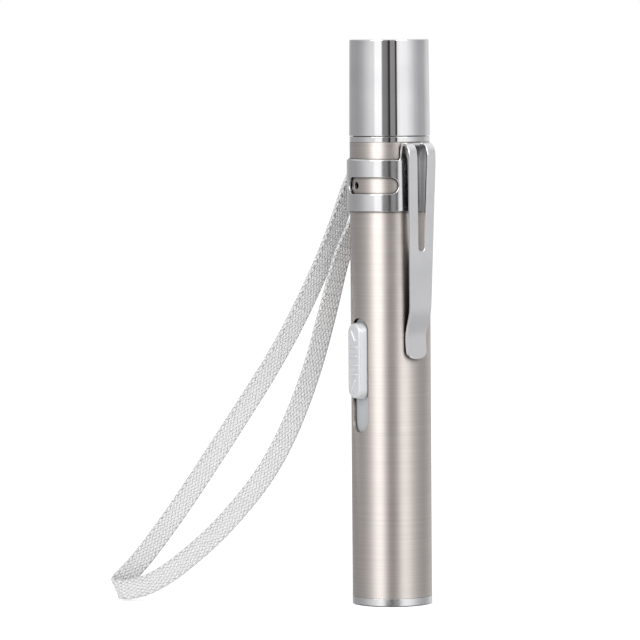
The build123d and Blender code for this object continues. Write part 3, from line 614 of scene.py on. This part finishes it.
# ---------------------------------------------------------------- lanyard
# The strap leaves its joint under the bridge, folds over the bridge's upper edge, runs down to a fold that
# rests on the table and comes back up into the joint. These points control its middle line, in metres.
STRAP_ROUTE = [
    (-0.0076, 0, 0.0772), (-0.0076, 0, 0.0790), (-0.0094, 0, 0.0790), (-0.0095, -0.0001, 0.0759),
    (-0.0106, -0.0015, 0.0719), (-0.0117, -0.0030, 0.0662), (-0.0139, -0.0062, 0.0564),
    (-0.0176, -0.0114, 0.0438), (-0.0228, -0.0189, 0.0297), (-0.0274, -0.0256, 0.0174),
    (-0.0306, -0.0303, 0.0096), (-0.0324, -0.0328, 0.0059), (-0.0335, -0.0343, 0.0040),
    (-0.0341, -0.0356, 0.0027), (-0.0325, -0.0367, 0.0021), (-0.0306, -0.0353, 0.0021),
    (-0.0280, -0.0320, 0.0032), (-0.0250, -0.0273, 0.0069), (-0.0209, -0.0206, 0.0139),
    (-0.0164, -0.0135, 0.0244), (-0.0132, -0.0083, 0.0385), (-0.0113, -0.0050, 0.0524),
    (-0.0103, -0.0034, 0.0602), (-0.0091, -0.0016, 0.0654), (-0.0077, 0, 0.0688), (-0.0076, 0, 0.0715),
]
# Which way the strap's width points, at shares of its length.
STRAP_TWIST = [
    (0.00, (0, 1, 0)), (0.06, (0, 1, 0)), (0.20, (0.22, 0.95, -0.20)), (0.34, (0.44, 0.72, -0.50)),
    (0.42, (0.46, 0.62, -0.63)), (0.475, (0.30, 0.42, -0.85)), (0.50, (0.18, 0.24, -0.95)),
    (0.53, (0.31, 0.42, -0.85)), (0.58, (0.39, 0.52, -0.76)), (0.70, (0.50, 0.78, -0.37)),
    (0.85, (0.25, 0.95, -0.15)), (0.96, (0, 1, 0)), (1.00, (0, 1, 0)),
]
YARNS = 12                # yarns that wind each way round the flat braid
YARN_TURN = 15.0          # strap length for one turn of a yarn
YARN_HALF = 0.36          # half width and half thickness of a flattened yarn
YARN_DEEP = 0.13
BRAID_HALF = 1.62         # half width and half thickness of the path that the yarns wind along
BRAID_DEEP = 0.24
BRAID_WAVE = 0.09         # how far a yarn rises over and dips under the ones it crosses
BRAID_STEP = 0.2          # between the cross-sections of a yarn
FILAMENT_RUN = 0.6        # strap length for one unit of a yarn's V coordinate


def route_line(points):
    """Points in millimetres along the smooth line that the route's points control."""
    curve = bpy.data.curves.new("strap_line", "CURVE")
    curve.dimensions = "3D"
    spline = curve.splines.new("NURBS")
    spline.points.add(len(points) - 1)
    for point, place in zip(spline.points, points):
        point.co = (*place, 1)
    spline.order_u = 3
    spline.use_endpoint_u = True
    spline.resolution_u = 24
    line = bpy.data.objects.new("strap_line", curve)
    mesh = bpy.data.meshes.new_from_object(line)
    found = np.array([v.co for v in mesh.vertices]) / MM
    bpy.data.meshes.remove(mesh)
    bpy.data.curves.remove(curve)
    return found


def smooth_between(keys, shares):
    """Directions at the shares, eased between the given ones."""
    places = np.array([k for k, _ in keys])
    values = unit(np.array([v for _, v in keys], float))
    i = np.clip(np.searchsorted(places, shares, side="right") - 1, 0, len(places) - 2)
    t = (shares - places[i]) / (places[i + 1] - places[i])
    t = (t * t * (3 - 2 * t))[:, None]
    return values[i] * (1 - t) + values[i + 1] * t


def make_strap():
    """Flat tubular braid: the yarns wind round the strap both ways, each over one and under one."""
    line = route_line(STRAP_ROUTE)
    along = np.concatenate([[0], np.cumsum(np.linalg.norm(np.diff(line, axis=0), axis=1))])
    count = round(along[-1] / BRAID_STEP)
    s = np.linspace(0, along[-1], count + 1)
    middle = np.stack([np.interp(s, along, line[:, k]) for k in range(3)], 1)
    ahead = unit(np.gradient(middle, s, axis=0))
    wide = smooth_between(STRAP_TWIST, s / s[-1])
    wide = unit(wide - ahead * (wide * ahead).sum(1)[:, None])
    face = np.cross(wide, ahead)

    run = BRAID_HALF - BRAID_DEEP
    bend_run = math.pi * BRAID_DEEP
    perimeter = 4 * run + 2 * bend_run

    def around(t):
        """Place and outward direction across the flat braid, for shares of a turn."""
        d = (t % 1.0) * perimeter
        w, h, out_w, out_h = np.zeros((4, len(d)))
        for side in (1, -1):
            e = d if side > 0 else d - (2 * run + bend_run)
            flat = (e >= 0) & (e < 2 * run)
            w[flat], h[flat] = side * (run - e[flat]), side * BRAID_DEEP
            out_h[flat] = side
            bend = (e >= 2 * run) & (e <= 2 * run + bend_run + TINY)
            a = (e[bend] - 2 * run) / BRAID_DEEP
            out_w[bend], out_h[bend] = -side * np.sin(a), side * np.cos(a)
            w[bend] = -side * run + BRAID_DEEP * out_w[bend]
            h[bend] = BRAID_DEEP * out_h[bend]
        return w, h, out_w, out_h

    wave = BRAID_WAVE * np.cos(2 * math.pi * YARNS * s / YARN_TURN)
    points, faces, uvs = [], [], []
    for hand in (1, -1):
        for yarn in range(YARNS):
            w, h, out_w, out_h = around(hand * (s / YARN_TURN + yarn / YARNS))
            centre = middle + wide * w[:, None] + face * h[:, None]
            out = wide * out_w[:, None] + face * out_h[:, None]
            centre = centre + out * (hand * wave)[:, None]
            across = unit(np.cross(out, unit(np.gradient(centre, s, axis=0))))
            base = len(points)
            section = ((1, 0), (0, 1), (-1, 0), (0, -1))
            ring = [centre + across * (a * YARN_HALF) + out * (b * YARN_DEEP) for a, b in section]
            points += np.stack(ring, 1).reshape(-1, 3).tolist()
            uvs += [(k + 4 * yarn, x / FILAMENT_RUN) for x in s for k in range(4)]
            for i in range(count):
                for k in range(4):
                    a, b = base + 4 * i + k, base + 4 * i + (k + 1) % 4
                    faces.append((a, b, b + 4, a + 4))
            faces.append(tuple(base + k for k in (3, 2, 1, 0)))
            faces.append(tuple(base + 4 * count + k for k in range(4)))
    strap = make_mesh("lanyard_braid", points, faces, uvs=uvs)
    finish_piece(strap, "yarn", "barrel", ["lanyard_strap"])


make_camera()
make_studio()
make_strap()


TABLE_R = 2500
TABLE_EDGES = 96
TABLE_GAP = 0.01          # between the table and what stands on it


def make_floor():
    """Plain white table, which isn't mirrored in the metal."""
    material, shader = new_material(
        "white_table", Roughness=0.9, Emission_Color=colour("#FFFFFF"), Emission_Strength=0.3
    )
    tint_with(shader, grain(shader, (1, 1, 1), 3.0), "#F8F8F8", "#FAFAFA")
    angles = [2 * math.pi * k / TABLE_EDGES for k in range(TABLE_EDGES)]
    ring = [(TABLE_R * math.cos(a), TABLE_R * math.sin(a), -TABLE_GAP) for a in angles]
    floor = make_mesh("table", ring, [tuple(range(TABLE_EDGES))])
    floor.data.materials.append(material)
    floor.visible_glossy = False


make_floor()

# ---------------------------------------------------------------- tube, rings and cap
tube_low, tube_high = node_box("body_tube")
knob_low, knob_high = node_box("switch_knob")
band_bottom = node_box("clip_band")[0].z
TUBE_R = tube_high.x
TUBE_WALL = 0.5
TUBE_MIDDLE = TUBE_R - TUBE_WALL / 2
BAND_HEIGHT = 8.95
SHEET = 0.5               # thickness of the clip
BAND_MIDDLE = TUBE_R + 0.03 + SHEET / 2
band_top = band_bottom + BAND_HEIGHT
window_z = band_bottom + BAND_HEIGHT / 2
SLOT_WIDTH = 4.3
SLOT_LENGTH = 20.0
slot_z = knob_high.z + 0.6 - SLOT_LENGTH / 2
INDICATOR_R = 0.62
INDICATOR_ANGLE = -93.0
RIM_OPENING = 4.6         # radius of the light's opening
SLEEVE_GAP = 0.05         # between the bezel's sleeve and the tube
SLEEVE_WALL = 0.5
BORE = 6.4                # radius inside the collar and the cap
CAP_ROOF = 1.0
CAP_TAPER = 0.14          # the cap is this much smaller in radius at its top


def on_cylinder(radius):
    """place() for a sheet wrapped round the pen's axis: u runs round it and v up it."""
    def place(u, v):
        return np.stack([radius * np.cos(u / radius), radius * np.sin(u / radius), v], 1)
    return place


def make_tube():
    """Brushed tube with the switch slot and the charge-indicator hole."""
    seam = math.pi * TUBE_MIDDLE
    outline = np.concatenate([band_line(seam, tube_low.z, 120), band_line(seam, tube_high.z, 120)[::-1]])
    slot_half = TUBE_MIDDLE * math.asin(SLOT_WIDTH / 2 / TUBE_MIDDLE)
    slot = stadium(-seam / 2, slot_z, slot_half, SLOT_LENGTH / 2, steps=40)
    indicator_u = TUBE_MIDDLE * math.radians(INDICATOR_ANGLE)
    hole = stadium(indicator_u, window_z, INDICATOR_R, INDICATOR_R, steps=20)
    tube = sheet_piece(
        "tube", [outline, slot, hole], on_cylinder(TUBE_MIDDLE), TUBE_WALL, 0.06, 0.55, seam=seam
    )
    finish_piece(tube, "tube", "barrel", ["body_tube"])


def make_rings():
    """Bezel of the light end, collar ring and cap, turned and plated."""
    rim_z, sleeve_z = tube_low.z, node_box("tail_bezel")[1].z
    sleeve = TUBE_R - TUBE_WALL - SLEEVE_GAP
    bezel = turned("light_end_bezel", [
        (RIM_OPENING, 0, 0.4), (TUBE_R, 0, 0.28), (TUBE_R, rim_z, 0.05), (sleeve, rim_z, 0.03),
        (sleeve, sleeve_z, 0.08), (sleeve - SLEEVE_WALL, sleeve_z, 0.08), (sleeve - SLEEVE_WALL, rim_z, 0.05),
        (RIM_OPENING, rim_z, 0.05),
    ])
    finish_piece(bezel, "rim", "barrel", ["tail_bezel"])
    low, high = node_box("collar_ring")
    collar = turned("collar", [
        (BORE, low.z, 0.03), (TUBE_R, low.z, 0.1), (TUBE_R, high.z, 0.1), (BORE, high.z, 0.03),
    ])
    finish_piece(collar, "chrome", "barrel", ["collar_ring"])
    low, high = node_box("cap_shell")
    roof_z = high.z - CAP_ROOF
    cap = turned("cap", [
        (0, high.z, 0), (0, roof_z, 0), (BORE, roof_z, 0.3), (BORE, low.z, 0.08), (high.x, low.z, 0.1),
        (high.x - CAP_TAPER, high.z, 0.25),
    ], steps=8, around=192)
    finish_piece(cap, "chrome", "cap", ["cap_shell"])


make_tube()
make_rings()

# ---------------------------------------------------------------- clip
CLIP_TOP_HALF = 2.85      # half width of the arm at its top and at its lower end
CLIP_LOW_HALF = 2.15
NECK_FILLET = 0.5         # where the neck rises out of the band
BRIDGE_X = -8.45          # place, half width and bending radius of the lanyard's bridge
BRIDGE_HALF = 2.5
BRIDGE_ROUND = 0.45
WINDOW_HEIGHT = 2.9
WINDOW_NEAR = 24.5        # degrees from the clip, on both sides
WINDOW_FAR = 108.5
SLIT_TOP_HALF = 1.15
SLIT_LOW_HALF = 0.62
SLIT_LOW_Z = 62.95
TAPER_TOP_Z = 77.2        # the arm narrows from here down to where it touches the tube
TOUCH_Z = 46.9
TIP_DROP = 33.35          # the arm's end begins to round off this far below the band's top
FLAT_OUT = 2.2            # the sheet loses the band's curve over this length of the neck


def dense(points, step=0.02):
    """Points of a path, evenly close together, with the length reached at each."""
    points = np.asarray(points, float)
    lengths = np.concatenate([[0], np.cumsum(np.linalg.norm(np.diff(points, axis=0), axis=1))])
    s = np.linspace(0, lengths[-1], round(lengths[-1] / step) + 1)
    return s, np.stack([np.interp(s, lengths, points[:, k]) for k in range(points.shape[1])], 1)


def bezier(*controls, steps=60):
    """Points of a Bezier curve."""
    t = np.linspace(0, 1, steps + 1)[:, None]
    points = [np.tile(np.asarray(c, float), (steps + 1, 1)) for c in controls]
    while len(points) > 1:
        points = [a * (1 - t) + b * t for a, b in zip(points, points[1:])]
    return points[0]


def band_path():
    """Half of the band's middle line, from the clip round to the middle of the lanyard's bridge."""
    foot_x = -math.sqrt(BAND_MIDDLE**2 - BRIDGE_HALF**2)
    end = math.atan2(BRIDGE_HALF, foot_x) - BRIDGE_ROUND / BAND_MIDDLE
    angles = np.linspace(0, end, 1400)
    arc = np.stack([BAND_MIDDLE * np.cos(angles), BAND_MIDDLE * np.sin(angles)], 1)
    foot = bezier(arc[-1], (foot_x, BRIDGE_HALF), (foot_x - BRIDGE_ROUND, BRIDGE_HALF))
    corner = bezier(
        (BRIDGE_X + BRIDGE_ROUND, BRIDGE_HALF), (BRIDGE_X, BRIDGE_HALF),
        (BRIDGE_X, BRIDGE_HALF - BRIDGE_ROUND),
    )
    return dense(np.concatenate([arc, foot[1:], corner, [(BRIDGE_X, 0)]]))


def arm_path():
    """The clip's middle line in its own plane, from the band's upper edge over the bend to the tip."""
    x, bend_z = BAND_MIDDLE, band_top + 2.7
    shoulder, widest = (TUBE_R + 1.95, bend_z - 0.6), (TUBE_R + 2.38, bend_z - 2.6)
    knee, touch = (TUBE_R + 1.72, bend_z - 28.15), (TUBE_R + 0.32, bend_z - 33.85)
    tip = (TUBE_R + 0.75, band_top + 2.95 - 37.7)
    lean = (widest[0] - knee[0]) / (widest[1] - knee[1])
    neck = bezier((x, bend_z - 0.45), (x, bend_z), (x + 0.5, bend_z))
    over = bezier(
        (x + 0.55, bend_z), (x + 1.15, bend_z), (shoulder[0] - 0.35, shoulder[1] + 0.45), shoulder
    )
    outer = bezier(
        shoulder, (shoulder[0] + 0.28, shoulder[1] - 0.36), (widest[0] + lean * 1.1, widest[1] + 1.1), widest
    )
    inward = bezier(knee, (knee[0] - lean * 2.0, knee[1] - 2.0), (touch[0], touch[1] + 1.6), touch)
    turn_out = bezier(touch, (touch[0], touch[1] - 1.1), (tip[0] - 0.24, tip[1] + 1.2), tip)
    return dense(np.concatenate([[(x, band_top)], neck, over[1:], outer[1:], inward, turn_out[1:]]))


def make_clip():
    """One stamped sheet: the windowed band, its raised bridge, the neck, the bend and the sprung arm."""
    half_s, half_band = band_path()
    seam = half_s[-1]
    arm_s, arm = arm_path()
    top = np.argmax(arm[:, 1])
    z_down, s_down = arm[top:, 1][::-1], arm_s[top:][::-1]

    def along_arm(z):
        """How far up the flat sheet a height on the arm's outer side lies."""
        return band_top + float(np.interp(z, z_down, s_down))

    def place(u, v):
        x, y = (np.interp(np.abs(u), half_s, half_band[:, k]) for k in (0, 1))
        on_band = np.stack([x, np.sign(u) * y, v], 1)
        s = np.clip(v - band_top, 0, None)
        x, z = np.interp(s, arm_s, arm[:, 0]), np.interp(s, arm_s, arm[:, 1])
        bow = np.clip(1 - s / FLAT_OUT, 0.001, 1) / BAND_MIDDLE
        on_arm = np.stack([x - (1 - np.cos(bow * u)) / bow, np.sin(bow * u) / bow, z], 1)
        return np.where((v > band_top)[:, None], on_arm, on_band)

    foot_u, neck_v = CLIP_TOP_HALF + NECK_FILLET, band_top + NECK_FILLET
    fillet = bezier((foot_u, band_top), (CLIP_TOP_HALF, band_top), (CLIP_TOP_HALF, neck_v), steps=5)
    v_wide, v_touch, v_round = along_arm(TAPER_TOP_Z), along_arm(TOUCH_Z), along_arm(band_top - TIP_DROP)
    v_tip = band_top + arm_s[-1]
    angles = np.linspace(0, math.pi, 17)
    tip_edge = np.stack([CLIP_LOW_HALF * np.cos(angles), v_round + (v_tip - v_round) * np.sin(angles)], 1)
    right = np.concatenate([
        fillet,
        np.linspace((CLIP_TOP_HALF, neck_v), (CLIP_TOP_HALF, v_wide), 15)[1:],
        np.linspace((CLIP_TOP_HALF, v_wide), (CLIP_LOW_HALF, v_touch), 61)[1:],
        np.linspace((CLIP_LOW_HALF, v_touch), (CLIP_LOW_HALF, v_round), 5)[1:-1],
    ])
    to_neck = np.linspace((seam, band_top), (foot_u, band_top), 50)[:-1]
    flip = np.array([-1, 1])
    outline = np.concatenate([
        band_line(seam, band_bottom, 111), to_neck, right, tip_edge, right[::-1] * flip, to_neck[::-1] * flip,
    ])
    near, far = (BAND_MIDDLE * math.radians(a) for a in (WINDOW_NEAR, WINDOW_FAR))
    windows = [
        stadium(side * (near + far) / 2, window_z, (far - near) / 2, WINDOW_HEIGHT / 2, steps=20)
        for side in (-1, 1)
    ]
    v_top, v_low = band_top + arm_s[top] + 0.2, along_arm(SLIT_LOW_Z) + 0.75
    slit, _ = rounded_outline([
        (-SLIT_TOP_HALF, v_top, 0.25), (SLIT_TOP_HALF, v_top, 0.25), (SLIT_LOW_HALF, v_low, 0.615),
        (-SLIT_LOW_HALF, v_low, 0.615),
    ], steps=8)
    clip = sheet_piece("clip", [outline, *windows, slit[::-1]], place, SHEET, 0.14, 0.45, seam=seam)
    finish_piece(clip, "clip", None, ["clip_band", "clip_arm"])
    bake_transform(clip)


make_clip()

# ---------------------------------------------------------------- switch knob and shutter
RIBS = 6                  # grip ribs on the knob's face
RIB_PITCH = 1.6
RIB_R = 0.26
RIB_HALF = 0.95           # half length of a rib, without its round ends
RIB_TILT = 60.0           # the two end ribs lean this much, in degrees
RIB_SHIFT = 0.32          # and stand this much further out
KNOB_Z = (knob_low.z + knob_high.z) / 2
KNOB_FOOT = 3.0           # from the back of the socket to the back of the knob
KNOB_EDGE = 0.5           # rounding of the edge round the face
KNOB_SIDE = (2.0, 6.8, 1.75)      # half width, half length and corner radius at the knob's back
KNOB_FACE = (1.8425, 6.555, 1.69)     # and just before the edge's rounding
EDGE_STEPS = 6


def rounded_ring(half_x, half_z, radius, y):
    """Ring of points of a rounded rectangle, facing the switch's side."""
    outline, _ = rounded_outline([
        (half_x, -half_z, radius), (half_x, half_z, radius), (-half_x, half_z, radius),
        (-half_x, -half_z, radius),
    ], steps=8)
    return [(x, y, KNOB_Z + z) for x, z in outline]


def ring_faces(rings, size):
    """Four-cornered faces between rings of size points that follow one another."""
    return [
        (k * size + i, k * size + (i + 1) % size, (k + 1) * size + (i + 1) % size, (k + 1) * size + i)
        for k in range(rings - 1) for i in range(size)
    ]


def knob_body():
    """The knob without its ribs, with its socket and stem behind it."""
    back_y, foot_y, edge_y = knob_high.y, knob_high.y - KNOB_FOOT, knob_low.y + KNOB_EDGE
    rings = [
        rounded_ring(0.8, 0.8, 0.1, back_y - 1.0),      # bottom and mouth of the socket for the lever
        rounded_ring(0.8, 0.8, 0.1, back_y),
        rounded_ring(1.4, 2.3, 0.2, back_y),            # stem
        rounded_ring(1.4, 2.3, 0.2, foot_y),
        rounded_ring(1.9, 6.7, 1.65, foot_y),
        rounded_ring(*KNOB_SIDE, foot_y - 0.1),
        rounded_ring(*KNOB_FACE, edge_y),
    ]
    for k in range(1, EDGE_STEPS + 1):
        a = math.pi / 2 * k / EDGE_STEPS
        inset = KNOB_EDGE * (1 - math.cos(a))
        rings.append(rounded_ring(*(x - inset for x in KNOB_FACE), edge_y - KNOB_EDGE * math.sin(a)))
    size = len(rings[0])
    points = [p for ring in rings for p in ring]
    ends = [tuple(range(size))[::-1], tuple(range(len(points) - size, len(points)))]
    return make_mesh("knob", points, ends + ring_faces(len(rings), size))


def rib_rod():
    """Round-ended rod, of which each grip rib shows one half."""
    around = [2 * math.pi * k / 16 for k in range(16)]
    rows = [(-RIB_HALF - RIB_R * math.sin(a), RIB_R * math.cos(a)) for a in np.linspace(math.pi / 2, 0, 6)]
    rows += [(-x, r) for x, r in rows[::-1]]
    points = [(x, r * math.cos(a), r * math.sin(a)) for x, r in rows for a in around]
    return make_mesh("rib_rod", points, ring_faces(len(rows), len(around)))


def rib_tree():
    """Geometry Nodes tree: a row of ribs joined to the knob's face, the two at the ends leaning."""
    tree = bpy.data.node_groups.new("grip_ribs", "GeometryNodeTree")
    for name, kind in (("Geometry", "Geometry"), ("Rod", "Object"), ("Count", "Int"), ("Pitch", "Float"),
                       ("Tilt", "Float"), ("Shift", "Float"), ("Start", "Vector"), ("Material", "Material")):
        tree.interface.new_socket(name, in_out="INPUT", socket_type="NodeSocket" + kind)
    tree.interface.new_socket("Geometry", in_out="OUTPUT", socket_type="NodeSocketGeometry")
    given = add_node(tree, "NodeGroupInput").outputs
    index = add_node(tree, "GeometryNodeInputIndex").outputs[0]

    # The side is -1 at the first rib, 1 at the last and 0 between them.
    minus, same, times = ({"operation": word} for word in ("SUBTRACT", "COMPARE", "MULTIPLY"))
    last = add_node(tree, "ShaderNodeMath", minus, {1: 1.0}, {0: given["Count"]}).outputs[0]
    at_end = add_node(tree, "ShaderNodeMath", same, {2: 0.1}, {0: index, 1: last}).outputs[0]
    at_start = add_node(tree, "ShaderNodeMath", same, {1: 0.0, 2: 0.1}, {0: index}).outputs[0]
    side = add_node(tree, "ShaderNodeMath", minus, links={0: at_end, 1: at_start}).outputs[0]
    lift, lean = (
        add_node(tree, "ShaderNodeMath", times, links={0: side, 1: given[name]}).outputs[0]
        for name in ("Shift", "Tilt")
    )
    step, aside = (
        add_node(tree, "ShaderNodeCombineXYZ", links={"Z": source}).outputs[0]
        for source in (given["Pitch"], lift)
    )
    row = add_node(
        tree, "GeometryNodeMeshLine", {"mode": "OFFSET"},
        links={"Count": given["Count"], "Start Location": given["Start"], "Offset": step},
    ).outputs[0]
    spread = add_node(tree, "GeometryNodeSetPosition", links={"Geometry": row, "Offset": aside}).outputs[0]
    turn = add_node(tree, "ShaderNodeCombineXYZ", links={"Y": lean}).outputs[0]
    rod = add_node(tree, "GeometryNodeObjectInfo", links={"Object": given["Rod"]}).outputs["Geometry"]
    rods = add_node(
        tree, "GeometryNodeInstanceOnPoints", links={"Points": spread, "Instance": rod, "Rotation": turn}
    ).outputs[0]
    union = add_node(
        tree, "GeometryNodeMeshBoolean", {"operation": "UNION", "solver": "EXACT"},
        links={"Mesh 2": given["Geometry"]},
    )
    tree.links.new(rods, union.inputs["Mesh 2"])
    real = add_node(tree, "GeometryNodeRealizeInstances", links={"Geometry": union.outputs[0]}).outputs[0]
    coated = add_node(
        tree, "GeometryNodeSetMaterial", links={"Geometry": real, "Material": given["Material"]}
    ).outputs[0]
    add_node(tree, "NodeGroupOutput", links={0: coated})
    return tree


def make_knob():
    """Sliding knob with its grip ribs."""
    knob = knob_body()
    rod = rib_rod()
    modifier = knob.modifiers.new("ribs", "NODES")
    modifier.node_group = rib_tree()
    values = {
        "Rod": rod, "Count": RIBS, "Pitch": RIB_PITCH * MM, "Tilt": math.radians(RIB_TILT),
        "Shift": RIB_SHIFT * MM, "Material": materials["knob"],
        "Start": (0, knob_low.y * MM, (KNOB_Z - RIB_PITCH * (RIBS - 1) / 2) * MM),
    }
    for socket in modifier.node_group.interface.items_tree:
        if socket.name in values:
            modifier[socket.identifier] = values[socket.name]
    made = bpy.data.meshes.new_from_object(knob.evaluated_get(bpy.context.evaluated_depsgraph_get()))
    knob.modifiers.clear()
    knob.data = made
    made.set_sharp_from_angle(angle=math.radians(35))
    bpy.data.objects.remove(rod)
    finish_piece(knob, "knob", "slider", ["switch_knob"])


SHUTTER_WALL = 0.45
SHUTTER_HOLE = (1.45, 2.35)       # half width and half height of the hole for the knob's stem


def make_shutter():
    """Curved strip that closes the slot behind the knob."""
    low, high = node_box("switch_shutter")
    middle = -low.y - SHUTTER_WALL / 2
    centre = -math.pi / 2 * middle
    half = middle * math.asin(high.x / middle)
    hole_u, hole_z = SHUTTER_HOLE
    outline, hole = (
        rounded_outline([
            (centre - across, bottom, radius), (centre + across, bottom, radius),
            (centre + across, top, radius), (centre - across, top, radius),
        ])[0]
        for across, bottom, top, radius in (
            (half, low.z, high.z, 0.3), (hole_u, KNOB_Z - hole_z, KNOB_Z + hole_z, 0.1)
        )
    )
    shutter = sheet_piece("shutter", [outline, hole[::-1]], on_cylinder(middle), SHUTTER_WALL, 0.06, 0.6)
    finish_piece(shutter, "shutter", "slider", ["switch_shutter"])


make_knob()
make_shutter()

# ---------------------------------------------------------------- CAD nodes that stay as they are
KEPT = {
    "lens_window": "window", "reflector": "reflector", "led_board": "light_board", "white_led": "white_led",
    "warm_led": "warm_led", "insulating_washer": "washer", "battery_cell": "cell", "battery_tabs": "nickel",
    "led_wires": "wire", "inner_chassis": "chassis", "main_board": "board", "charger_chip": "black",
    "indicator_led": "white_led", "light_pipe": "pipe", "slide_switch": "black", "switch_pins": "tin",
    "switch_lever": "lever", "plug_holder": "holder", "usb_shell": "plug", "usb_core": "black",
    "usb_contacts": "gold", "lanyard_joint": "weld",
}
for node_name, material_name in KEPT.items():
    coat(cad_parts[node_name], material_name)
